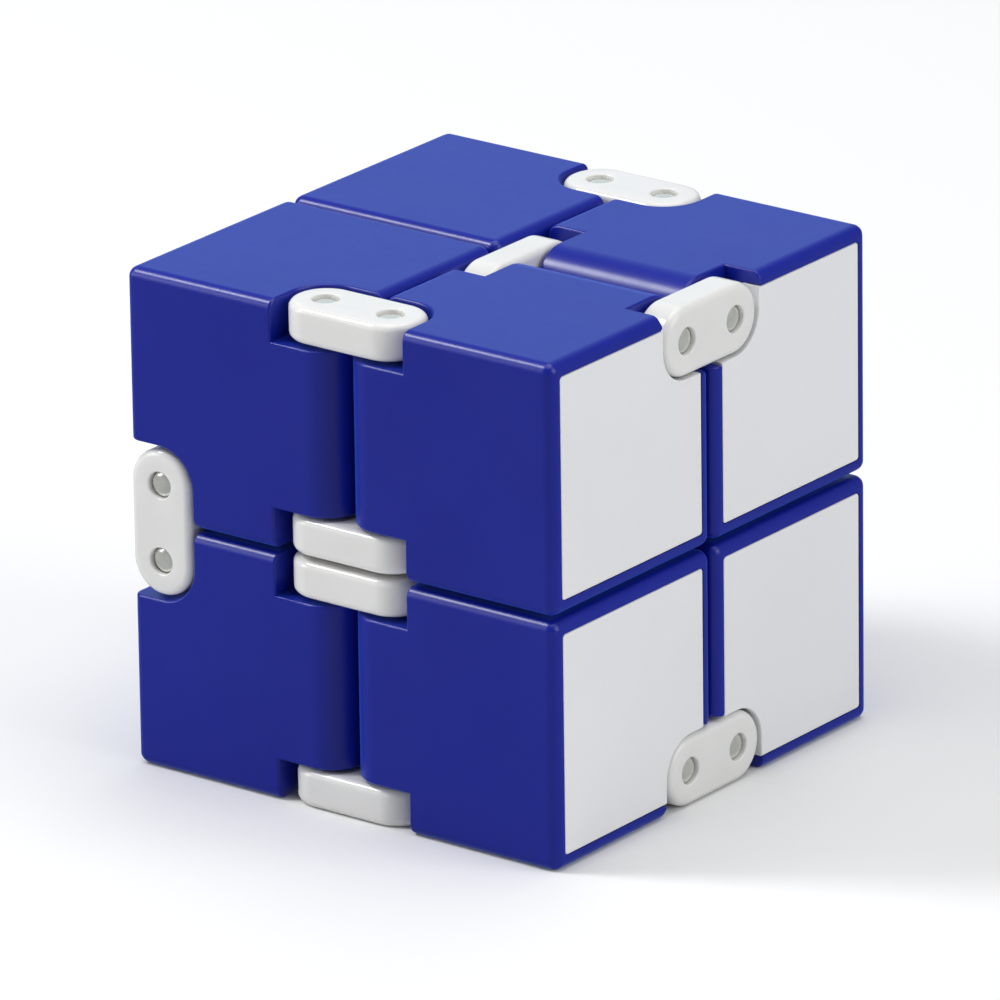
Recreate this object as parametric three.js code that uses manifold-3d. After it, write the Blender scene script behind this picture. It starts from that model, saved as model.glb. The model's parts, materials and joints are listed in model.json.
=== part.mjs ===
// Folding desk cube: eight hollow cubelets joined in one closed loop by eight double-pivot hinges.
// Millimetres, +Z up, origin at the centre of the underside of the closed cube. -Y is the front,
// +X the right-hand side that shows the white lids.
import * as THREE from 'three';
import { mergeVertices } from 'three/addons/utils/BufferGeometryUtils.js';
import Module from 'manifold-3d';

const wasm = await Module();
wasm.setup();

// Driving dimensions.
const CUBE = 40;             // side of the closed cube
const SEAM = 0.4;            // gap between neighbouring cubelets
const WALL = 1.5;            // casing wall
const EDGE_RADIUS = 1.0;     // rounding of the plain edges
const PIN_INSET = 2.85;      // pin centre to both faces beside a hinge edge
const PIN_RADIUS = 1.0;
const PIN_RECESS = 0.2;      // pin end below the link's outer side
const RUNNING_GAP = 0.1;     // pin to the hole that it runs in
const LINK_RADIUS = 2.8;     // round ends of a link
const LINK_THICKNESS = 3.0;
const POCKET_RADIUS = 3.15;  // pocket wall about the pin
const POCKET_DEPTH = 3.3;
const LID_THICKNESS = 1.6;
const LID_BORDER = 1.15;     // lid edge to the outer planes of its cubelet
const LID_CORNER = 0.3;
const LID_GAP = 0.15;        // lid to its recess, all round and behind
const LID_NOTCH_GAP = 0.2;   // round end of a link to the notch it sinks into in a lid

// Sizes that follow from them.
const SIDE = (CUBE - SEAM) / 2;
const HALF = SIDE / 2;
const CENTRE = HALF + SEAM / 2;
const PIN_OFFSET = HALF - PIN_INSET;
const PIN_SPACING = 2 * PIN_INSET + SEAM;
const PIN_LENGTH = SIDE - 2 * PIN_RECESS;
const BLOCK = PIN_INSET + POCKET_RADIUS + WALL;
const HOLE_RADIUS = PIN_RADIUS + RUNNING_GAP;
const CORNER_STEPS = 2;
const BARREL_STEPS = 5;
const ROUND_SIDES = 12;
const OVERCUT = 1;           // how far a cutting tool runs past a face

const BLUE = { color: 0x262e96, roughness: 0.32, metalness: 0.0 };
const LID_WHITE = { color: 0xd9dadf, roughness: 0.55, metalness: 0.0 };
const LINK_WHITE = { color: 0xe4e4e0, roughness: 0.3, metalness: 0.0 };
const STEEL = { color: 0xb9b9b4, roughness: 0.3, metalness: 1.0 };

// Each hinge lies along `axis`, in the half of the cube that `half` names on that axis. It closes
// the seam that faces `seam`, at the outer face on the side `outer.sign` of the axis `outer.axis`.
const HINGES = [
  { name: 'front_upper', axis: 'z', half: 1, seam: 'x', outer: { axis: 'y', sign: -1 } },
  { name: 'front_lower', axis: 'z', half: -1, seam: 'x', outer: { axis: 'y', sign: -1 } },
  { name: 'back_upper', axis: 'z', half: 1, seam: 'x', outer: { axis: 'y', sign: 1 } },
  { name: 'back_lower', axis: 'z', half: -1, seam: 'x', outer: { axis: 'y', sign: 1 } },
  { name: 'left_front', axis: 'y', half: -1, seam: 'z', outer: { axis: 'x', sign: -1 } },
  { name: 'left_back', axis: 'y', half: 1, seam: 'z', outer: { axis: 'x', sign: -1 } },
  { name: 'right_top', axis: 'x', half: 1, seam: 'y', outer: { axis: 'z', sign: 1 } },
  { name: 'right_bottom', axis: 'x', half: 1, seam: 'y', outer: { axis: 'z', sign: -1 } },
];

// The two axes across each axis, in the order that keeps (u, v, axis) right-handed.
const ACROSS = { x: ['y', 'z'], y: ['z', 'x'], z: ['x', 'y'] };
const UNIT = {
  x: new THREE.Vector3(1, 0, 0),
  y: new THREE.Vector3(0, 1, 0),
  z: new THREE.Vector3(0, 0, 1),
};
const SIDE_WORDS = { x: ['left', 'right'], y: ['front', 'back'], z: ['lower', 'upper'] };
const END_WORDS = { x: ['inner', 'outer'], y: ['front', 'back'], z: ['bottom', 'top'] };

const word = (words, sign) => words[sign < 0 ? 0 : 1];

// ---- geometry helpers ----

function toSolid(geometry) {
  const bare = geometry.clone();
  bare.deleteAttribute('normal');
  bare.deleteAttribute('uv');
  const merged = mergeVertices(bare, 1e-4);
  return new wasm.Manifold(new wasm.Mesh({
    numProp: 3,
    vertProperties: new Float32Array(merged.attributes.position.array),
    triVerts: new Uint32Array(merged.index.array),
  }));
}

function toGeometry(solid) {
  const mesh = solid.getMesh();
  const geometry = new THREE.BufferGeometry();
  geometry.setAttribute('position', new THREE.BufferAttribute(mesh.vertProperties, 3));
  geometry.setIndex(new THREE.BufferAttribute(mesh.triVerts, 1));
  geometry.computeVertexNormals();
  return geometry;
}

// A prism of `shape` (drawn in the two axes across `axis`) from `start`, `length` long.
function prism(shape, axis, start, length, steps) {
  const geometry = new THREE.ExtrudeGeometry(shape, {
    depth: length,
    bevelEnabled: false,
    curveSegments: steps,
  });
  geometry.translate(0, 0, start);
  const [u, v] = ACROSS[axis];
  geometry.applyMatrix4(new THREE.Matrix4().makeBasis(UNIT[u], UNIT[v], UNIT[axis]));
  return toSolid(geometry);
}

// A block between two corners given as { x: [low, high], y: [...], z: [...] }.
function block(span) {
  const size = (axis) => span[axis][1] - span[axis][0];
  const middle = (axis) => (span[axis][0] + span[axis][1]) / 2;
  const geometry = new THREE.BoxGeometry(size('x'), size('y'), size('z'));
  geometry.translate(middle('x'), middle('y'), middle('z'));
  return toSolid(geometry);
}

// A square about the origin with its own radius at each corner, keyed by the corner's two signs.
function squareShape(half, radiusAt) {
  const corners = [[-1, -1], [1, -1], [1, 1], [-1, 1]];
  const shape = new THREE.Shape();
  corners.forEach(([su, sv], index) => {
    const radius = radiusAt(su, sv);
    const startAngle = Math.PI + index * Math.PI / 2;
    const centreU = su * (half - radius);
    const centreV = sv * (half - radius);
    shape.absarc(centreU, centreV, radius, startAngle, startAngle + Math.PI / 2, false);
  });
  return shape;
}

// Signed place of a hinge's pin in the two axes across it, inside one cubelet.
function pinPlace(hinge, cubelet) {
  return {
    [hinge.seam]: -cubelet[hinge.seam] * PIN_OFFSET,
    [hinge.outer.axis]: cubelet[hinge.outer.axis] * PIN_OFFSET,
  };
}

const acrossSigns = (hinge, cubelet) => {
  const place = pinPlace(hinge, cubelet);
  return ACROSS[hinge.axis].map((axis) => Math.sign(place[axis]));
};

// Corner square of a hinge edge, reaching `reach` inwards and `past` outwards, with the inner
// corner rounded about the pin by `radius`.
function cornerShape(hinge, cubelet, reach, past, radius) {
  const [su, sv] = acrossSigns(hinge, cubelet);
  const inner = HALF - reach;
  const outer = HALF + past;
  const turn = { '1,1': 0, '-1,1': 1, '-1,-1': 2, '1,-1': 3 }[`${su},${sv}`];
  const points = [[outer, outer], [inner, outer]];
  const shape = new THREE.Shape();
  const spin = ([a, b]) => {
    const angle = turn * Math.PI / 2;
    return [a * Math.cos(angle) - b * Math.sin(angle), a * Math.sin(angle) + b * Math.cos(angle)];
  };
  shape.moveTo(...spin(points[0]));
  shape.lineTo(...spin(points[1]));
  if (radius > 0) {
    const startAngle = Math.PI + turn * Math.PI / 2;
    const [centreU, centreV] = spin([inner + radius, inner + radius]);
    shape.absarc(centreU, centreV, radius, startAngle, startAngle + Math.PI / 2, false);
  } else {
    shape.lineTo(...spin([inner, inner]));
  }
  shape.lineTo(...spin([outer, inner]));
  shape.closePath();
  return shape;
}

function pinHole(hinge, cubelet, radius, start, length) {
  const place = pinPlace(hinge, cubelet);
  const [u, v] = ACROSS[hinge.axis].map((axis) => place[axis]);
  const circle = new THREE.Shape();
  circle.absarc(u, v, radius, 0, 2 * Math.PI, false);
  return prism(circle, hinge.axis, start, length, ROUND_SIDES);
}

// ---- the pieces of one cubelet ----

// The lid closes the face that the cubelet's second hinge ends at, away from its first hinge.
function lidFace(cubelet) {
  const axis = cubelet.x > 0 ? 'x' : 'y';
  return { axis, sign: cubelet.x > 0 ? 1 : -cubelet.y };
}

// Outside of a cubelet: three crossed prisms, rounded about the pins at the hinge edges.
function cubeletBody(cubelet, hinges) {
  const prisms = ['x', 'y', 'z'].map((axis) => {
    const hinge = hinges.find((candidate) => candidate.axis === axis);
    const shape = squareShape(HALF, (su, sv) => {
      const signs = hinge ? acrossSigns(hinge, cubelet) : [0, 0];
      return su === signs[0] && sv === signs[1] ? PIN_INSET : EDGE_RADIUS;
    });
    const steps = hinge ? BARREL_STEPS : CORNER_STEPS;
    return prism(shape, axis, -HALF - OVERCUT, SIDE + 2 * OVERCUT, steps);
  });
  return prisms[0].intersect(prisms[1]).intersect(prisms[2]);
}

// Room inside a casing, open towards the lid, with solid corners left for the hinges.
function cubeletHollow(cubelet, hinges) {
  const inside = HALF - WALL;
  const lid = lidFace(cubelet);
  const span = { x: [-inside, inside], y: [-inside, inside], z: [-inside, inside] };
  span[lid.axis] = lid.sign > 0 ? [-inside, HALF + OVERCUT] : [-HALF - OVERCUT, inside];
  let hollow = block(span);
  for (const hinge of hinges) {
    const corner = cornerShape(hinge, cubelet, BLOCK, OVERCUT, 0);
    hollow = hollow.subtract(prism(corner, hinge.axis, -2 * HALF, 2 * SIDE, 1));
  }
  return hollow;
}

// The two pockets that a hinge edge has, one at each end, for the links to swing in. Their inner
// wall lies `radius` from the pin.
function linkPockets(hinge, cubelet, radius) {
  const shape = cornerShape(hinge, cubelet, PIN_INSET + radius, OVERCUT, radius);
  const length = POCKET_DEPTH + OVERCUT;
  const low = prism(shape, hinge.axis, -HALF - OVERCUT, length, BARREL_STEPS);
  const high = prism(shape, hinge.axis, HALF - POCKET_DEPTH, length, BARREL_STEPS);
  return low.add(high);
}

// A flat square prism at the lid's face, `depth` deep from the face and `past` proud of it.
function lidSlab(cubelet, border, corner, depth, past) {
  const lid = lidFace(cubelet);
  const shape = squareShape(HALF - border, () => corner);
  const start = lid.sign > 0 ? HALF - depth : -HALF - past;
  return prism(shape, lid.axis, start, depth + past, CORNER_STEPS);
}

function casing(cubelet, hinges) {
  let solid = cubeletBody(cubelet, hinges).subtract(cubeletHollow(cubelet, hinges));
  const recess = lidSlab(
    cubelet, LID_BORDER - LID_GAP, LID_CORNER + LID_GAP, LID_THICKNESS + LID_GAP, OVERCUT);
  solid = solid.subtract(recess);
  for (const hinge of hinges) {
    solid = solid.subtract(linkPockets(hinge, cubelet, POCKET_RADIUS));
    solid = solid.subtract(pinHole(hinge, cubelet, HOLE_RADIUS, -HALF, SIDE));
  }
  return toGeometry(solid);
}

function lid(cubelet, hinges) {
  let solid = lidSlab(cubelet, LID_BORDER, LID_CORNER, LID_THICKNESS, 0);
  for (const hinge of hinges) {
    solid = solid.subtract(linkPockets(hinge, cubelet, LINK_RADIUS + LID_NOTCH_GAP));
  }
  return toGeometry(solid);
}

// ---- the pieces of one hinge ----

// A flat bar with round ends and a hole for each pin, lying along `seam`, `axis` through it.
function link(hinge) {
  const alongU = ACROSS[hinge.axis][0] === hinge.seam;
  const reach = PIN_SPACING / 2;
  const outline = new THREE.Shape();
  const firstEnd = alongU ? [reach, 0, -Math.PI / 2] : [0, reach, 0];
  const secondEnd = alongU ? [-reach, 0, Math.PI / 2] : [0, -reach, Math.PI];
  for (const [u, v, startAngle] of [firstEnd, secondEnd]) {
    outline.absarc(u, v, LINK_RADIUS, startAngle, startAngle + Math.PI, false);
  }
  for (const [u, v] of [firstEnd, secondEnd]) {
    const hole = new THREE.Path();
    hole.absarc(u, v, HOLE_RADIUS, 0, 2 * Math.PI, true);
    outline.holes.push(hole);
  }
  return toGeometry(prism(outline, hinge.axis, -LINK_THICKNESS / 2, LINK_THICKNESS, ROUND_SIDES / 2));
}

function pin(axis) {
  const circle = new THREE.Shape();
  circle.absarc(0, 0, PIN_RADIUS, 0, 2 * Math.PI, false);
  return toGeometry(prism(circle, axis, -PIN_LENGTH / 2, PIN_LENGTH, ROUND_SIDES));
}

// ---- the assembly ----

const cube = new THREE.Group();

function place(name, geometry, finish, position) {
  const mesh = new THREE.Mesh(geometry, new THREE.MeshStandardMaterial(finish));
  mesh.name = name;
  mesh.position.set(position.x, position.y, position.z + CUBE / 2);
  cube.add(mesh);
}

function addCubelet(cubelet) {
  const hinges = HINGES.filter((hinge) => cubelet[hinge.axis] === hinge.half
    && cubelet[hinge.outer.axis] === hinge.outer.sign);
  const name = ['x', 'y', 'z'].map((axis) => word(SIDE_WORDS[axis], cubelet[axis])).join('_');
  const centre = { x: cubelet.x * CENTRE, y: cubelet.y * CENTRE, z: cubelet.z * CENTRE };
  place(`casing_${name}`, casing(cubelet, hinges), BLUE, centre);
  place(`lid_${name}`, lid(cubelet, hinges), LID_WHITE, centre);
}

function addHinge(hinge) {
  for (const end of [-1, 1]) {
    const position = { x: 0, y: 0, z: 0 };
    position[hinge.axis] = hinge.half * CENTRE + end * (HALF - LINK_THICKNESS / 2);
    position[hinge.outer.axis] = hinge.outer.sign * (CENTRE + PIN_OFFSET);
    place(`link_${hinge.name}_${word(END_WORDS[hinge.axis], end)}`, link(hinge), LINK_WHITE, position);
  }
  for (const side of [-1, 1]) {
    const position = { x: 0, y: 0, z: 0 };
    position[hinge.axis] = hinge.half * CENTRE;
    position[hinge.seam] = side * PIN_SPACING / 2;
    position[hinge.outer.axis] = hinge.outer.sign * (CENTRE + PIN_OFFSET);
    place(`pin_${hinge.name}_${word(SIDE_WORDS[hinge.seam], side)}`, pin(hinge.axis), STEEL, position);
  }
}

for (const x of [-1, 1]) {
  for (const y of [-1, 1]) {
    for (const z of [-1, 1]) {
      addCubelet({ x, y, z });
    }
  }
}
HINGES.forEach(addHinge);

export default cube;
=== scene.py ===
# %% [markdown]
# # A folding desk cube
# Eight hollow blocks hang together in one endless loop, so the cube folds open again and again.
# Each block is a blue moulded casing with a white lid. Short white links, two at each hinge edge,
# turn on steel pins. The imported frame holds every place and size, and this script gives each
# piece the shape of its edges and its finish.

# %% The frame
import json
import math

import bmesh
import bpy
from mathutils import Matrix, Vector


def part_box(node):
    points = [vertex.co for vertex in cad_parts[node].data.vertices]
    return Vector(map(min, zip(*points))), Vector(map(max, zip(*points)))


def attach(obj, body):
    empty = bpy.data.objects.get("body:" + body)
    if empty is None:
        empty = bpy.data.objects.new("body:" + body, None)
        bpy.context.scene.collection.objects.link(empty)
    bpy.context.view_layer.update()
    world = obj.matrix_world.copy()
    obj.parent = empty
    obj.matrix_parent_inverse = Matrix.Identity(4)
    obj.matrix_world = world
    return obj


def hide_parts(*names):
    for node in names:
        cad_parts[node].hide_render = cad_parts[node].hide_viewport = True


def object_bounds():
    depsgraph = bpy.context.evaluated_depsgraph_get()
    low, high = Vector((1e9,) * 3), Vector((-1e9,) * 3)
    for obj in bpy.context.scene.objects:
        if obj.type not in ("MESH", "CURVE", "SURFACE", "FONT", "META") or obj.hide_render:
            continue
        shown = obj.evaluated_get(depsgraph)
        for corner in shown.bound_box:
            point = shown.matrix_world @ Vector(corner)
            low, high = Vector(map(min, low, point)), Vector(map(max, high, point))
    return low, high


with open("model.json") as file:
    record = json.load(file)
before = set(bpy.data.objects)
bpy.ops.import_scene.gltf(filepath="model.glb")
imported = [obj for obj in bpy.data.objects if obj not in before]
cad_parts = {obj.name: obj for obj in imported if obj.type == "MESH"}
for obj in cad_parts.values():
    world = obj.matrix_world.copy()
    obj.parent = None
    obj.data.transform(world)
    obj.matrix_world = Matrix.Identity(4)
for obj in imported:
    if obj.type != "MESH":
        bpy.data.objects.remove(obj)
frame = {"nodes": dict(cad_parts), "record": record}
cad_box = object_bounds()
MM = 0.001
body_of_node = {node: body for body, nodes in
                frame["record"]["behaviour"]["bodies"].items() for node in nodes}

# %% [markdown]
# ## Sizes
# The block, the link and the pin are measured on the frame, so they can't drift from it. The
# small sizes that a box cannot show, such as an edge rounding, are chosen and named here once.

# %% Sizes read from the frame
def middle(node):
    low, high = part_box(node)
    return (low + high) / 2


def extent(node):
    low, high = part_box(node)
    return high - low


def node_names(start):
    return sorted(name for name in frame["nodes"] if name.startswith(start))


SIDE = extent("casing_right_front_upper").x
HALF = SIDE / 2
CUBE_CENTRE = (cad_box[0] + cad_box[1]) / 2
PIN_INSET = HALF - abs(middle("pin_front_upper_right").x - middle("casing_right_front_upper").x)
PIN_RADIUS = extent("pin_front_upper_right").x / 2
PIN_LENGTH = extent("pin_front_upper_right").z
PIN_SPACING = (middle("pin_front_upper_right") - middle("pin_front_upper_left")).length
LINK_LENGTH = extent("link_front_upper_top").x
LINK_WIDTH = extent("link_front_upper_top").y
LINK_THICKNESS = extent("link_front_upper_top").z
LID_SIDE = extent("lid_right_front_upper").y
LID_THICKNESS = extent("lid_right_front_upper").x
print("block side", round(SIDE / MM, 2), "link", round(LINK_LENGTH / MM, 2), "x",
      round(LINK_WIDTH / MM, 2), "pin inset", round(PIN_INSET / MM, 2), "mm")

# %% Small sizes that finish the edges
EDGE_RADIUS = 0.85 * MM       # plain edges of a casing
POCKET_EDGE = 0.2 * MM        # mouth of a link pocket
POCKET_RADIUS = 3.15 * MM     # pocket wall about the pin
POCKET_DEPTH = 3.3 * MM
WALL = 1.5 * MM
LID_GAP = 0.06 * MM
LID_CORNER = 0.3 * MM
LID_NOTCH_GAP = 0.2 * MM      # round end of a link to its notch in a lid
LID_EDGE = 0.12 * MM
LINK_EDGE = 0.6 * MM
DIMPLE_RADIUS = 1.06 * MM     # hole that shows the pin's end
DIMPLE_EDGE = 0.14 * MM
PIN_DOME = 0.3 * MM           # how far a pin end is domed
PAST = 1.0 * MM               # how far a cutting tool runs past a face
NEAR = 0.02 * MM              # two places this close count as the same
WELD = 0.001 * MM             # points this close are joined

# %% How finely round shapes are divided
BARREL_STEPS = 18
EDGE_STEPS = 6
MOUTH_STEPS = 3
RIM_STEPS = 6
LINK_POINTS = 56              # once round a link
HOLE_POINTS = 36
PIN_POINTS = 40
DOME_STEPS = 6
DOME_SWEEP = 85.0             # degrees of a dome's profile that are drawn; its tip stays flat

# %% [markdown]
# ## Camera and studio
# The cube is seen from the right and a little above, with a long lens, so its upright edges stay
# almost parallel. The studio is a pale round floor with a low curled wall, so that every side has
# the same backdrop. Five area lamps light it: a broad one overhead, a strip at the upper left
# whose reflection draws the thin bright lines along the rounded edges, a key at the left, a fill
# at the right, and a bluish card behind that the flat tops mirror. All of them are area lamps,
# because satin plastic looks hard and cheap under a point light.

# %% Camera
CAMERA_AZIMUTH = math.radians(37.31)
CAMERA_ELEVATION = math.radians(20.0)
CAMERA_ROLL = math.radians(-0.8)
CAMERA_DISTANCE = 0.9
FOCAL_TO_WIDTH = 11.84        # focal length over the width of the picture
SENSOR_WIDTH = 36.0           # in the camera's own millimetres
AIM_BELOW = 0.46 * MM         # how far the camera looks past the cube's centre
AIM_LEFT = 0.05 * MM

camera_data = bpy.data.cameras.new("camera")
camera_data.sensor_width = SENSOR_WIDTH
camera_data.lens = SENSOR_WIDTH * FOCAL_TO_WIDTH
camera_data.clip_start = 0.01
camera_data.clip_end = 10.0
camera = bpy.data.objects.new("camera", camera_data)
bpy.context.scene.collection.objects.link(camera)
view_back = Vector((math.sin(CAMERA_AZIMUTH) * math.cos(CAMERA_ELEVATION),
                    -math.cos(CAMERA_AZIMUTH) * math.cos(CAMERA_ELEVATION),
                    math.sin(CAMERA_ELEVATION)))
view_right = Vector((math.cos(CAMERA_AZIMUTH), math.sin(CAMERA_AZIMUTH), 0.0))
view_up = view_back.cross(view_right)
turned = Matrix((view_right, view_up, view_back)).transposed()
camera.matrix_world = (Matrix.Translation(CUBE_CENTRE + view_back * CAMERA_DISTANCE)
                       @ turned.to_4x4() @ Matrix.Rotation(CAMERA_ROLL, 4, "Z"))
camera.location -= view_up * AIM_BELOW + view_right * AIM_LEFT
bpy.context.scene.camera = camera
print("camera", [round(value, 3) for value in camera.location])

# %% Lamps, sky and floor
def area_light(name, direction, distance, size, power, colour=(1, 1, 1)):
    """A square lamp that looks at the cube from a direction, in metres and watts."""
    lamp = bpy.data.lights.new(name, "AREA")
    lamp.size = size
    lamp.energy = power
    lamp.color = colour
    holder = bpy.data.objects.new(name, lamp)
    bpy.context.scene.collection.objects.link(holder)
    away = Vector(direction).normalized()
    holder.location = CUBE_CENTRE + away * distance
    holder.rotation_euler = away.to_track_quat("Z", "Y").to_euler()


area_light("overhead", direction=(0.05, 0.1, 1.0), distance=1.5, size=1.4, power=15.0)
area_light("strip", direction=(-0.566, -0.342, 0.75), distance=0.6, size=0.12, power=1.5)
area_light("left_key", direction=(-0.9, -0.7, 0.35), distance=1.0, size=0.4, power=3.0)
area_light("back_card", direction=(-0.566, 0.751, 0.342), distance=1.5, size=1.3, power=2.4,
           colour=(0.50, 0.78, 1.0))
area_light("right_fill", direction=(1.0, 0.2, 0.5), distance=1.2, size=0.8, power=5.8)

world = bpy.data.worlds.new("studio")
world.use_nodes = True
sky = world.node_tree.nodes["Background"]
sky.inputs["Color"].default_value = (0.95, 0.98, 1.0, 1.0)
sky.inputs["Strength"].default_value = 0.2
bpy.context.scene.world = world
bpy.context.scene.view_settings.view_transform = "Standard"


def dish_floor():
    """A flat round floor whose rim curls up into a low wall, so every side has the same backdrop."""
    flat, bend, height, steps, around = 2.4, 0.25, 0.45, 10, 96
    profile = [(flat, 0.0)]
    for step in range(1, steps + 1):
        angle = step / steps * math.pi / 2
        profile.append((flat + bend * math.sin(angle), bend - bend * math.cos(angle)))
    profile.append((flat + bend, height))
    mesh = bmesh.new()
    rings = []
    for radius, up in profile:
        turns = [turn / around * math.tau for turn in range(around)]
        rings.append([mesh.verts.new((radius * math.cos(t), radius * math.sin(t), up))
                      for t in turns])
    mesh.faces.new(rings[0])
    for low, high in zip(rings, rings[1:]):
        for turn in range(around):
            after = (turn + 1) % around
            mesh.faces.new((low[turn], low[after], high[after], high[turn]))
    data = bpy.data.meshes.new("paper")
    mesh.to_mesh(data)
    mesh.free()
    paper = bpy.data.objects.new("paper", data)
    bpy.context.scene.collection.objects.link(paper)
    return paper


paper = dish_floor()
paper_finish = bpy.data.materials.new("studio_paper")
paper_finish.use_nodes = True
paper_shader = paper_finish.node_tree.nodes["Principled BSDF"]
paper_shader.inputs["Base Color"].default_value = (0.81, 0.81, 0.81, 1.0)
paper_shader.inputs["Roughness"].default_value = 0.9
paper_shader.inputs["Specular IOR Level"].default_value = 0.1
paper.data.materials.append(paper_finish)
paper.visible_glossy = False   # the paper lights the cube but is not mirrored in it
print("studio: five lamps, sky and paper")

# %% [markdown]
# ## Finishes
# The casings are moulded ABS with a satin gloss. Real ABS is never one flat blue: the pigment
# drifts a little, the surface has a very fine orange peel from the mould, and handling dulls it
# in soft patches that change only the gloss. The blue also looks paler when seen at a low angle:
# a blue sheen does that, without greying the faces seen from straight on. The lids are the same
# plastic with a spark-eroded matt texture, the links a slippery glossy acetal that lets a little
# light in and picks up hair scratches, and the pins plated steel wire with domed ends. All of it
# is made from noise on object coordinates, so the grain stays put when the cube folds.

# %% Helpers for the node trees
class Finish:
    """A small hand for wiring one material's nodes."""

    def __init__(self, name):
        self.material = bpy.data.materials.new(name)
        self.material.use_nodes = True
        self.tree = self.material.node_tree
        self.shader = self.tree.nodes["Principled BSDF"]
        self.place = self.node("ShaderNodeTexCoord").outputs["Object"]

    def node(self, kind, **settings):
        made = self.tree.nodes.new(kind)
        for name, value in settings.items():
            setattr(made, name, value)
        return made

    def link(self, start, end):
        self.tree.links.new(start, end)

    def stretched(self, scale, turn=(0.0, 0.0, 0.0)):
        mapping = self.node("ShaderNodeMapping")
        mapping.inputs["Scale"].default_value = scale
        mapping.inputs["Rotation"].default_value = turn
        self.link(self.place, mapping.inputs["Vector"])
        return mapping.outputs["Vector"]

    def noise(self, scale, detail=2.0, roughness=0.5, place=None):
        noise = self.node("ShaderNodeTexNoise")
        noise.inputs["Scale"].default_value = scale
        noise.inputs["Detail"].default_value = detail
        noise.inputs["Roughness"].default_value = roughness
        self.link(place or self.place, noise.inputs["Vector"])
        return noise.outputs["Fac"]

    def ramp(self, value, stops):
        ramp = self.node("ShaderNodeValToRGB")
        elements = ramp.color_ramp.elements
        for element, (position, colour) in zip(elements, stops):
            element.position = position
            element.color = (*colour, 1.0)
        self.link(value, ramp.inputs["Fac"])
        return ramp.outputs["Color"]

    def spread(self, value, low, high, from_low=0.3, from_high=0.7):
        spread = self.node("ShaderNodeMapRange")
        spread.inputs["From Min"].default_value = from_low
        spread.inputs["From Max"].default_value = from_high
        spread.inputs["To Min"].default_value = low
        spread.inputs["To Max"].default_value = high
        self.link(value, spread.inputs["Value"])
        return spread.outputs["Result"]

    def add(self, first, second):
        total = self.node("ShaderNodeMath", operation="ADD")
        self.link(first, total.inputs[0])
        self.link(second, total.inputs[1])
        return total.outputs[0]

    def bump(self, height, distance):
        bump = self.node("ShaderNodeBump")
        bump.inputs["Distance"].default_value = distance
        bump.inputs["Strength"].default_value = 1.0
        self.link(height, bump.inputs["Height"])
        return bump.outputs["Normal"]

    def hair_scratches(self, amount, turn):
        """Thin lines: very stretched noise, of which only the highest ridges are kept."""
        lines = self.noise(1.0, 1.0, 0.4, self.stretched((9000.0, 260.0, 260.0), turn))
        return self.spread(lines, 0.0, amount, 0.72, 0.78)


# %% Blue casing plastic
def blue_abs():
    finish = Finish("blue_abs")
    drift = finish.noise(90.0, 3.0, 0.55)
    finish.link(finish.ramp(drift, [(0.3, (0.0024, 0.0095, 0.256)), (0.7, (0.0034, 0.0117, 0.280))]),
                finish.shader.inputs["Base Color"])
    gloss = finish.spread(finish.noise(700.0, 4.0, 0.6), 0.285, 0.315)
    handling = finish.spread(finish.noise(130.0, 3.0, 0.6), 0.0, 0.03)
    finish.link(finish.add(gloss, handling), finish.shader.inputs["Roughness"])
    peel = finish.noise(1400.0, 2.0, 0.5)
    finish.link(finish.bump(peel, 0.004 * MM), finish.shader.inputs["Normal"])
    finish.shader.inputs["Sheen Weight"].default_value = 1.0
    finish.shader.inputs["Sheen Roughness"].default_value = 0.3
    finish.shader.inputs["Sheen Tint"].default_value = (0.09, 0.22, 1.0, 1.0)
    finish.shader.inputs["IOR"].default_value = 1.52
    finish.shader.inputs["Specular IOR Level"].default_value = 0.4
    return finish.material


# %% White lid plastic
def matt_white_abs():
    finish = Finish("matt_white_abs")
    drift = finish.noise(60.0, 3.0, 0.5)
    finish.link(finish.ramp(drift, [(0.3, (0.745, 0.745, 0.762)), (0.7, (0.772, 0.772, 0.786))]),
                finish.shader.inputs["Base Color"])
    grain = finish.noise(5200.0, 3.0, 0.7)
    finish.link(finish.spread(grain, 0.46, 0.6), finish.shader.inputs["Roughness"])
    finish.link(finish.bump(grain, 0.012 * MM), finish.shader.inputs["Normal"])
    finish.shader.inputs["IOR"].default_value = 1.5
    finish.shader.inputs["Subsurface Weight"].default_value = 0.08
    finish.shader.inputs["Subsurface Radius"].default_value = (1.0, 0.95, 0.9)
    finish.shader.inputs["Subsurface Scale"].default_value = 0.6 * MM
    return finish.material


# %% Glossy link plastic
def glossy_acetal():
    finish = Finish("glossy_acetal")
    drift = finish.noise(160.0, 2.0, 0.5)
    finish.link(finish.ramp(drift, [(0.3, (0.725, 0.720, 0.708)), (0.7, (0.755, 0.751, 0.738))]),
                finish.shader.inputs["Base Color"])
    gloss = finish.spread(finish.noise(900.0, 3.0, 0.6), 0.15, 0.22)
    finish.link(finish.add(gloss, finish.hair_scratches(0.04, (0.9, 0.1, 0.4))),
                finish.shader.inputs["Roughness"])
    finish.link(finish.bump(finish.noise(800.0, 2.0, 0.5), 0.01 * MM), finish.shader.inputs["Normal"])
    finish.shader.inputs["IOR"].default_value = 1.48
    finish.shader.inputs["Subsurface Weight"].default_value = 0.15
    finish.shader.inputs["Subsurface Radius"].default_value = (1.0, 0.95, 0.85)
    finish.shader.inputs["Subsurface Scale"].default_value = 0.8 * MM
    return finish.material


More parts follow.
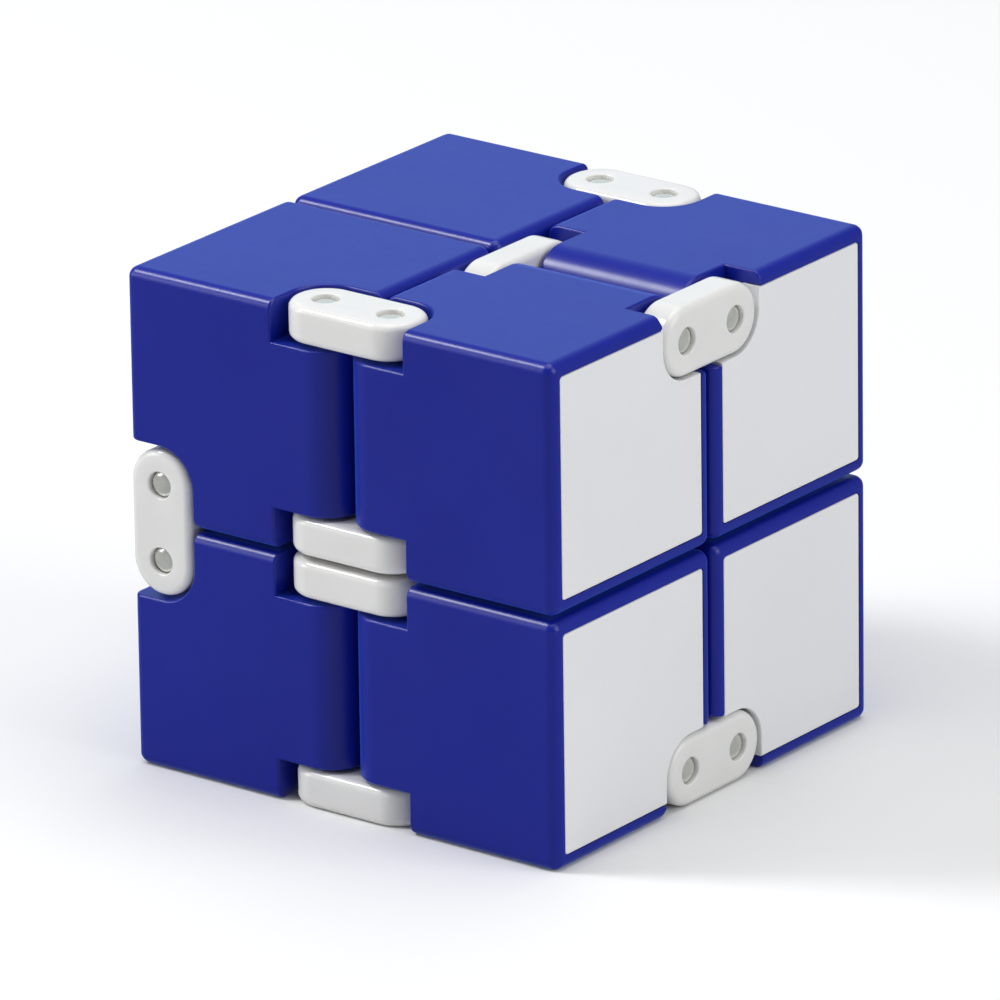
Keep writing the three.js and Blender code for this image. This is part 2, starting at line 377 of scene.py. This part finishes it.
# %% Steel wire
def drawn_steel():
    finish = Finish("drawn_steel")
    cloud = finish.noise(1500.0, 2.0, 0.6)
    finish.link(finish.ramp(cloud, [(0.3, (0.70, 0.71, 0.66)), (0.7, (0.80, 0.81, 0.76))]),
                finish.shader.inputs["Base Color"])
    finish.link(finish.spread(cloud, 0.14, 0.24), finish.shader.inputs["Roughness"])
    finish.link(finish.bump(finish.noise(2600.0, 2.0, 0.5), 0.008 * MM),
                finish.shader.inputs["Normal"])
    finish.shader.inputs["Metallic"].default_value = 0.55
    return finish.material


BLUE = blue_abs()
LID_WHITE = matt_white_abs()
LINK_WHITE = glossy_acetal()
STEEL = drawn_steel()
print("finishes:", [finish.name for finish in (BLUE, LID_WHITE, LINK_WHITE, STEEL)])

# %% [markdown]
# ## One block, made once
# All eight casings come from one pattern and its mirror image. The pattern stands in its own
# axes: one hinge edge runs upright along Z at the corner -X -Y, the other along X at the corner
# +Y +Z, and the lid closes the +X face. Both hinge edges are rounded about their pins, so that
# the blocks can roll past each other. A bevelled box is cut by simple tools, then its edges are
# rounded in two sizes: cutting first and rounding last gives the pocket mouths a true moulded
# edge, which rounding first would not.

# %% Helpers for solids
def new_object(name, mesh):
    data = bpy.data.meshes.new(name)
    mesh.to_mesh(data)
    mesh.free()
    made = bpy.data.objects.new(name, data)
    bpy.context.scene.collection.objects.link(made)
    return made


def arc(centre_u, centre_v, radius, start, end, steps):
    """Points on an arc, both ends included."""
    for step in range(steps + 1):
        angle = start + (end - start) * step / steps
        yield (centre_u + radius * math.cos(angle), centre_v + radius * math.sin(angle))


def prism(outline, along, low, high):
    """A bmesh prism of an outline that is drawn across the axis `along` (0, 1 or 2)."""
    mesh = bmesh.new()
    across = ((1, 2), (2, 0), (0, 1))[along]
    rings = []
    for level in (low, high):
        ring = []
        for u, v in outline:
            place = [0.0, 0.0, 0.0]
            place[across[0]], place[across[1]], place[along] = u, v, level
            ring.append(mesh.verts.new(place))
        rings.append(ring)
    mesh.faces.new(list(reversed(rings[0])))
    mesh.faces.new(rings[1])
    for index in range(len(outline)):
        following = (index + 1) % len(outline)
        mesh.faces.new((rings[0][index], rings[0][following],
                        rings[1][following], rings[1][index]))
    bmesh.ops.recalc_face_normals(mesh, faces=mesh.faces[:])
    return mesh


def box_mesh(low, high):
    outline = [(low[0], low[1]), (high[0], low[1]), (high[0], high[1]), (low[0], high[1])]
    return prism(outline, 2, low[2], high[2])


def cut(target, mesh):
    """Cuts target by a tool mesh and keeps the result as target's own plain mesh."""
    tool = new_object("tool", mesh)
    modifier = target.modifiers.new("cut", "BOOLEAN")
    modifier.operation = "DIFFERENCE"
    modifier.solver = "EXACT"
    modifier.object = tool
    evaluated = target.evaluated_get(bpy.context.evaluated_depsgraph_get())
    result = bpy.data.meshes.new_from_object(evaluated)
    target.modifiers.clear()
    old = target.data
    target.data = result
    bpy.data.meshes.remove(old)
    bpy.data.objects.remove(tool)


def rounded_square(half, radius, steps=8):
    outline = []
    for turn, (su, sv) in enumerate(((1, 1), (-1, 1), (-1, -1), (1, -1))):
        start = turn * math.pi / 2
        outline += arc(su * (half - radius), sv * (half - radius), radius,
                       start, start + math.pi / 2, steps)
    return outline


# %% Pocket and hollow outlines
BLOCK_REACH = PIN_INSET + POCKET_RADIUS + WALL


def corner_outline(su, sv, reach, radius, steps=14):
    """A square at the corner (su, sv) of a face, its inner corner rounded about the pin."""
    outer, inner = HALF + PAST, HALF - reach
    points = [(outer, inner), (outer, outer), (inner, outer)]
    if radius:
        points += arc(inner + radius, inner + radius, radius, math.pi, 1.5 * math.pi, steps)
    else:
        points.append((inner, inner))
    return [(su * u, sv * v) for u, v in points]


def pockets(radius):
    """The four pockets: two at the ends of the upright hinge edge, two at the level one's."""
    for along, su, sv in ((2, -1, -1), (0, 1, 1)):
        outline = corner_outline(su, sv, PIN_INSET + radius, radius)
        yield prism(outline, along, -HALF - PAST, -HALF + POCKET_DEPTH)
        yield prism(outline, along, HALF - POCKET_DEPTH, HALF + PAST)


# %% Rounding helpers
def sharp_edges(mesh, keep, least=math.radians(35)):
    """Outward edges that turn by more than `least` and whose middle passes `keep`."""
    found = []
    for edge in mesh.edges:
        if len(edge.link_faces) != 2 or edge.calc_face_angle_signed(0.0) < least:
            continue
        if keep((edge.verts[0].co + edge.verts[1].co) / 2):
            found.append(edge)
    return found


def round_edges(target, keep, radius, steps):
    mesh = bmesh.new()
    mesh.from_mesh(target.data)
    mesh.normal_update()
    edges = sharp_edges(mesh, keep)
    bmesh.ops.bevel(mesh, geom=edges, offset=radius, offset_type="OFFSET", segments=steps,
                    profile=0.5, affect="EDGES", clamp_overlap=False)
    mesh.to_mesh(target.data)
    mesh.free()
    return len(edges)


def on_outer_planes(place):
    return sum(abs(abs(value) - HALF) < NEAR for value in place)


# %% The casing pattern
def casing_pattern():
    mesh = box_mesh((-HALF,) * 3, (HALF,) * 3)
    hinge_edges = []
    for edge in mesh.edges:
        place = (edge.verts[0].co + edge.verts[1].co) / 2
        upright = abs(place.z) < NEAR and place.x < 0 and place.y < 0
        level = abs(place.x) < NEAR and place.y > 0 and place.z > 0
        if upright or level:
            hinge_edges.append(edge)
    bmesh.ops.bevel(mesh, geom=hinge_edges, offset=PIN_INSET, offset_type="OFFSET",
                    segments=BARREL_STEPS, profile=0.5, affect="EDGES", clamp_overlap=False)
    casing = new_object("casing_pattern", mesh)
    for pocket in pockets(POCKET_RADIUS):
        cut(casing, pocket)
    plain = round_edges(casing, lambda place: on_outer_planes(place) >= 2,
                        EDGE_RADIUS, EDGE_STEPS)
    floor = HALF - LID_THICKNESS - LID_GAP
    recess = rounded_square(LID_SIDE / 2 + LID_GAP, LID_CORNER + LID_GAP)
    cut(casing, prism(recess, 0, floor, HALF + PAST))
    inside = HALF - WALL
    hollow = new_object("hollow", box_mesh((-inside,) * 3, (floor + PAST / 2, inside, inside)))
    for along, su, sv in ((2, -1, -1), (0, 1, 1)):
        cut(hollow, prism(corner_outline(su, sv, BLOCK_REACH, 0), along, -2 * HALF, 2 * HALF))
    room = bmesh.new()
    room.from_mesh(hollow.data)
    bpy.data.objects.remove(hollow)
    cut(casing, room)

    def moulded_mouth(place):
        """An edge in the outer skin, but not on the open lid side."""
        return max(abs(value) for value in place) > HALF - 0.9 * WALL and place.x < HALF - NEAR

    mouths = round_edges(casing, moulded_mouth, POCKET_EDGE, MOUTH_STEPS)
    print("casing pattern:", plain, "plain edges,", mouths, "mouth edges,",
          len(casing.data.polygons), "faces")
    return casing


casing_master = casing_pattern()

# %% The lid pattern
def lid_pattern():
    outline = rounded_square(LID_SIDE / 2, LID_CORNER)
    lid = new_object("lid_pattern", prism(outline, 0, HALF - LID_THICKNESS, HALF))
    for notch in pockets(LINK_WIDTH / 2 + LID_NOTCH_GAP):
        cut(lid, notch)
    edges = round_edges(lid, lambda place: place.x > HALF - NEAR, LID_EDGE, MOUTH_STEPS)
    print("lid pattern:", edges, "edges rounded,", len(lid.data.polygons), "faces")
    return lid


lid_master = lid_pattern()

# %% [markdown]
# ## Eight blocks from one pattern
# A block on the right is the pattern or its mirror image. A block on the left is the same
# moulding turned so that its lid looks at the seam between front and back. A turn or a mirror
# only swaps and flips axes, so it is written straight into the vertices, and a mirrored copy has
# its faces turned over again.

# %% Where each block stands
def block_axes(signs):
    """Where the pattern's own X, Y and Z point in the block with these three signs."""
    right, back, up = signs
    if right > 0:
        return Vector((1, 0, 0)), Vector((0, -back, 0)), Vector((0, 0, up))
    return Vector((0, -back, 0)), Vector((-1, 0, 0)), Vector((0, 0, -up))


def copy_of(pattern, name, signs, centre):
    turn = Matrix(block_axes(signs)).transposed()
    mesh = bmesh.new()
    mesh.from_mesh(pattern.data)
    bmesh.ops.transform(mesh, matrix=turn.to_4x4(), verts=mesh.verts)
    bmesh.ops.translate(mesh, vec=centre, verts=mesh.verts)
    if turn.determinant() < 0:
        bmesh.ops.reverse_faces(mesh, faces=mesh.faces)
    return new_object(name, mesh)


def smooth_by_angle(piece, degrees=32):
    """Soft shading over the roundings, crisp at the few edges that stay sharp."""
    mesh = bmesh.new()
    mesh.from_mesh(piece.data)
    for face in mesh.faces:
        face.smooth = True
    for edge in mesh.edges:
        edge.smooth = edge.calc_face_angle(0.0) < math.radians(degrees)
    mesh.to_mesh(piece.data)
    mesh.free()
    # weighted normals keep the big flat faces flat right up to their roundings
    modifier = piece.modifiers.new("weighted", "WEIGHTED_NORMAL")
    modifier.keep_sharp = True
    modifier.weight = 100


def finish_piece(piece, material, slot, *nodes):
    piece.data.materials.clear()
    piece.data.materials.append(material)
    for face in piece.data.polygons:
        face.material_index = 0
    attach(piece, body_of_node[nodes[0]])
    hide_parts(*nodes)


# %% Casings and lids
def signs_of(place):
    return [1 if value > middle_value else -1 for value, middle_value in zip(place, CUBE_CENTRE)]


for kind, pattern, material in (("casing", casing_master, BLUE), ("lid", lid_master, LID_WHITE)):
    for node in node_names(kind):
        block = node.split("_", 1)[1]
        centre = middle("casing_" + block)
        piece = copy_of(pattern, f"{kind}_moulding_{block}", signs_of(centre), centre)
        smooth_by_angle(piece)
        finish_piece(piece, material, kind, node)
    print(kind + "s:", len(node_names(kind)))
bpy.data.objects.remove(casing_master)
bpy.data.objects.remove(lid_master)

# %% [markdown]
# ## Links
# A link is a flat bar with round ends, its rims rolled over, and a round dimple at each end where
# the pin stops a little below the surface. Its outline is a rule, a slot shape, so Geometry Nodes
# draw it: one curve runs round the bar and a rolled-edge profile is swept along it, smaller
# profiles line the two holes, and a flat fill closes each side. The finished bar is then set at
# each end of the hinge edge, which is the step that repeats.

# %% A small hand for geometry trees
class Tree:
    """Builds one Geometry Nodes tree with named inputs."""

    def __init__(self, name, inputs):
        self.tree = bpy.data.node_groups.new(name, "GeometryNodeTree")
        self.sockets = {}
        for label, kind in inputs:
            made = self.tree.interface.new_socket(label, in_out="INPUT", socket_type=kind)
            self.sockets[label] = made.identifier
        self.tree.interface.new_socket("Geometry", in_out="OUTPUT",
                                       socket_type="NodeSocketGeometry")
        self.given = self.tree.nodes.new("NodeGroupInput").outputs
        self.result = self.tree.nodes.new("NodeGroupOutput").inputs[0]

    def add(self, kind, inputs=None, **settings):
        node = self.tree.nodes.new(kind)
        for name, value in settings.items():
            setattr(node, name, value)
        for name, value in (inputs or {}).items():
            socket = node.inputs[name]
            if isinstance(value, bpy.types.NodeSocket):
                self.tree.links.new(value, socket)
            else:
                socket.default_value = value
        return node

    def join(self, *parts):
        node = self.tree.nodes.new("GeometryNodeJoinGeometry")
        for part in parts:
            self.tree.links.new(part, node.inputs[0])
        return node.outputs[0]

    def math(self, operation, first, second):
        return self.add("ShaderNodeMath", {0: first, 1: second}, operation=operation).outputs[0]

    def vector(self, x, y, z):
        return self.add("ShaderNodeCombineXYZ", {"X": x, "Y": y, "Z": z}).outputs[0]


def run_tree(tree, name, values):
    """Runs a tree on an empty mesh and returns a plain object of what it made."""
    data = bpy.data.meshes.new(name)
    holder = bpy.data.objects.new(name, data)
    bpy.context.scene.collection.objects.link(holder)
    modifier = holder.modifiers.new("tree", "NODES")
    modifier.node_group = tree.tree
    for label, value in values.items():
        modifier[tree.sockets[label]] = value
    evaluated = holder.evaluated_get(bpy.context.evaluated_depsgraph_get())
    result = bpy.data.meshes.new_from_object(evaluated)
    holder.modifiers.clear()
    holder.data = result
    bpy.data.meshes.remove(data)
    return holder


# %% The link tree
def rolled_rim(tree, thickness, radius, side):
    """Profile of a rim: a quarter round, a straight wall and a quarter round. side is 1 or -1."""
    half = tree.math("MULTIPLY", thickness, 0.5)
    shoulder = tree.math("SUBTRACT", half, radius)
    low_shoulder = tree.math("MULTIPLY", shoulder, -1.0)
    parts = []
    for centre, start in ((shoulder, 0.0), (low_shoulder, -math.pi / 2)):
        quarter = tree.add("GeometryNodeCurveArc", {
            "Resolution": RIM_STEPS, "Radius": radius, "Start Angle": start, "Sweep Angle": math.pi / 2})
        parts.append(tree.add("GeometryNodeTransform", {
            "Geometry": quarter.outputs[0],
            "Translation": tree.vector(0.0, centre, 0.0)}).outputs[0])
    wall = tree.add("GeometryNodeCurvePrimitiveLine", {
        "Start": tree.vector(radius, low_shoulder, 0.0), "End": tree.vector(radius, shoulder, 0.0)})
    parts.append(wall.outputs[0])
    return tree.add("GeometryNodeTransform", {
        "Geometry": tree.join(*parts), "Scale": (side, 1.0, 1.0)}).outputs[0]


def slot_path(tree, spacing, radius):
    """A circle pulled apart in the middle, which is a bar's outline with round ends."""
    circle = tree.add("GeometryNodeCurvePrimitiveCircle", {"Resolution": LINK_POINTS, "Radius": radius})
    turned = tree.add("GeometryNodeTransform", {
        "Geometry": circle.outputs[0], "Rotation": (0.0, 0.0, math.pi / LINK_POINTS)})
    place = tree.add("ShaderNodeSeparateXYZ", {0: tree.add("GeometryNodeInputPosition").outputs[0]})
    sign = tree.math("SIGN", place.outputs["X"], 0.0)
    shift = tree.math("MULTIPLY", sign, tree.math("MULTIPLY", spacing, 0.5))
    return tree.add("GeometryNodeSetPosition", {
        "Geometry": turned.outputs[0], "Offset": tree.vector(shift, 0.0, 0.0)}).outputs[0]


def link_tree():
    tree = Tree("rolled_link", [
        ("Spacing", "NodeSocketFloat"), ("End Radius", "NodeSocketFloat"),
        ("Thickness", "NodeSocketFloat"), ("Edge Radius", "NodeSocketFloat"),
        ("Hole Radius", "NodeSocketFloat"), ("Hole Edge", "NodeSocketFloat"),
        ("Middle", "NodeSocketVector"), ("Step", "NodeSocketVector"),
        ("Turn", "NodeSocketVector"), ("Finish", "NodeSocketMaterial")])
    given = tree.given
    flat_radius = tree.math("SUBTRACT", given["End Radius"], given["Edge Radius"])
    outline = slot_path(tree, given["Spacing"], flat_radius)
    rim = tree.add("GeometryNodeCurveToMesh", {
        "Curve": outline,
        "Profile Curve": rolled_rim(tree, given["Thickness"], given["Edge Radius"], 1.0)})
    parts, paths = [rim.outputs[0]], [outline]
    hole_path_radius = tree.math("ADD", given["Hole Radius"], given["Hole Edge"])
    lining = rolled_rim(tree, given["Thickness"], given["Hole Edge"], -1.0)
    for side in (-0.5, 0.5):
        circle = tree.add("GeometryNodeCurvePrimitiveCircle", {
            "Resolution": HOLE_POINTS, "Radius": hole_path_radius})
        placed = tree.add("GeometryNodeTransform", {
            "Geometry": circle.outputs[0],
            "Translation": tree.vector(tree.math("MULTIPLY", given["Spacing"], side), 0.0, 0.0)})
        paths.append(placed.outputs[0])
        parts.append(tree.add("GeometryNodeCurveToMesh", {
            "Curve": placed.outputs[0], "Profile Curve": lining}).outputs[0])
    flat = tree.add("GeometryNodeFillCurve", {"Curve": tree.join(*paths)})
    for side in (-0.5, 0.5):
        level = tree.math("MULTIPLY", given["Thickness"], side)
        parts.append(tree.add("GeometryNodeTransform", {
            "Geometry": flat.outputs[0], "Translation": tree.vector(0.0, 0.0, level)}).outputs[0])
    bar = tree.add("GeometryNodeMergeByDistance", {
        "Geometry": tree.join(*parts), "Distance": WELD})
    half_step = tree.add("ShaderNodeVectorMath", {0: given["Step"], 1: (0.5, 0.5, 0.5)},
                         operation="MULTIPLY")
    start = tree.add("ShaderNodeVectorMath", {0: given["Middle"], 1: half_step.outputs[0]},
                     operation="SUBTRACT")
    ends = tree.add("GeometryNodeMeshLine", {
        "Count": 2, "Start Location": start.outputs[0], "Offset": given["Step"]})
    placed = tree.add("GeometryNodeInstanceOnPoints", {
        "Points": ends.outputs[0], "Instance": bar.outputs[0], "Rotation": given["Turn"]})
    real = tree.add("GeometryNodeRealizeInstances", {"Geometry": placed.outputs[0]})
    finished = tree.add("GeometryNodeSetMaterial", {
        "Geometry": real.outputs[0], "Material": given["Finish"]})
    tree.tree.links.new(finished.outputs[0], tree.result)
    return tree


LINK_TREE = link_tree()
print("link tree:", len(LINK_TREE.tree.nodes), "nodes")

# %% Links on every hinge
def facing_out(piece):
    mesh = bmesh.new()
    mesh.from_mesh(piece.data)
    bmesh.ops.recalc_face_normals(mesh, faces=mesh.faces)
    mesh.to_mesh(piece.data)
    mesh.free()


def hinge_turn(first, second):
    """Turns a bar's own X along its two pins and its own Z along the hinge."""
    size = extent(first)
    along = min(range(3), key=lambda axis: size[axis])
    across = max(range(3), key=lambda axis: size[axis])
    z_axis, x_axis = Vector((0, 0, 0)), Vector((0, 0, 0))
    z_axis[along], x_axis[across] = 1.0, 1.0
    turn = Matrix((x_axis, z_axis.cross(x_axis), z_axis)).transposed()
    return turn.to_euler(), middle(second) - middle(first)


hinges = sorted({name.split("_", 1)[1].rsplit("_", 1)[0] for name in node_names("link")})
for hinge in hinges:
    first, second = node_names(f"link_{hinge}_")
    turn, step = hinge_turn(first, second)
    piece = run_tree(LINK_TREE, f"links_{hinge}", {
        "Spacing": PIN_SPACING, "End Radius": LINK_WIDTH / 2, "Thickness": LINK_THICKNESS,
        "Edge Radius": LINK_EDGE, "Hole Radius": DIMPLE_RADIUS, "Hole Edge": DIMPLE_EDGE,
        "Middle": (middle(first) + middle(second)) / 2, "Step": step, "Turn": turn,
        "Finish": LINK_WHITE})
    facing_out(piece)
    smooth_by_angle(piece)
    finish_piece(piece, LINK_WHITE, "link", first, second)
print("links:", len(hinges), "pairs of", len(piece.data.polygons), "faces")

# %% [markdown]
# ## Pins
# A pin is a length of wire whose ends are peened to low domes. It fills the bore of its block and
# both links, and only the domes show, just under the mouths of the holes. A tree grows half a
# pin out of one disc, ring by ring over the dome, mirrors it and closes the two at the middle.

# %% The pin tree
def pin_tree():
    tree = Tree("wire_pin", [
        ("Radius", "NodeSocketFloat"), ("Length", "NodeSocketFloat"),
        ("Dome Height", "NodeSocketFloat"), ("Middle", "NodeSocketVector"),
        ("Turn", "NodeSocketVector"), ("Finish", "NodeSocketMaterial")])
    given = tree.given
    disc = tree.add("GeometryNodeMeshCircle", {"Vertices": PIN_POINTS, "Radius": given["Radius"]},
                    fill_type="NGON")
    straight = tree.math("SUBTRACT", tree.math("MULTIPLY", given["Length"], 0.5),
                         given["Dome Height"])
    grown = tree.add("GeometryNodeExtrudeMesh", {
        "Mesh": disc.outputs[0], "Offset": (0.0, 0.0, 1.0), "Offset Scale": straight,
        "Individual": False})
    half, top = grown.outputs[0], grown.outputs["Top"]
    for step in range(DOME_STEPS):
        low, high = (math.radians(DOME_SWEEP) * number / DOME_STEPS for number in (step, step + 1))
        rise = tree.math("MULTIPLY", given["Dome Height"], math.sin(high) - math.sin(low))
        ring = tree.add("GeometryNodeExtrudeMesh", {
            "Mesh": half, "Selection": top, "Offset": (0.0, 0.0, 1.0), "Offset Scale": rise,
            "Individual": False})
        narrowed = tree.add("GeometryNodeScaleElements", {
            "Geometry": ring.outputs[0], "Selection": ring.outputs["Top"],
            "Scale": math.cos(high) / math.cos(low)})
        half, top = narrowed.outputs[0], ring.outputs["Top"]
    mirrored = tree.add("GeometryNodeTransform", {"Geometry": half, "Scale": (1.0, 1.0, -1.0)})
    turned_over = tree.add("GeometryNodeFlipFaces", {"Mesh": mirrored.outputs[0]})
    whole = tree.add("GeometryNodeMergeByDistance", {
        "Geometry": tree.join(half, turned_over.outputs[0]), "Distance": WELD})
    spot = tree.add("GeometryNodePoints", {"Count": 1, "Position": given["Middle"]})
    placed = tree.add("GeometryNodeInstanceOnPoints", {
        "Points": spot.outputs[0], "Instance": whole.outputs[0], "Rotation": given["Turn"]})
    real = tree.add("GeometryNodeRealizeInstances", {"Geometry": placed.outputs[0]})
    finished = tree.add("GeometryNodeSetMaterial", {
        "Geometry": real.outputs[0], "Material": given["Finish"]})
    tree.tree.links.new(finished.outputs[0], tree.result)
    return tree


PIN_TREE = pin_tree()
print("pin tree:", len(PIN_TREE.tree.nodes), "nodes")

# %% Pins in every hinge edge
for node in node_names("pin"):
    size = extent(node)
    along = max(range(3), key=lambda axis: size[axis])
    z_axis = Vector((0, 0, 0))
    z_axis[along] = 1.0
    piece = run_tree(PIN_TREE, "wire_" + node, {
        "Radius": PIN_RADIUS, "Length": PIN_LENGTH, "Dome Height": PIN_DOME,
        "Middle": middle(node), "Turn": z_axis.to_track_quat("Z", "Y").to_euler(),
        "Finish": STEEL})
    facing_out(piece)
    smooth_by_angle(piece)
    finish_piece(piece, STEEL, "pin", node)
print("pins:", len(node_names("pin")))
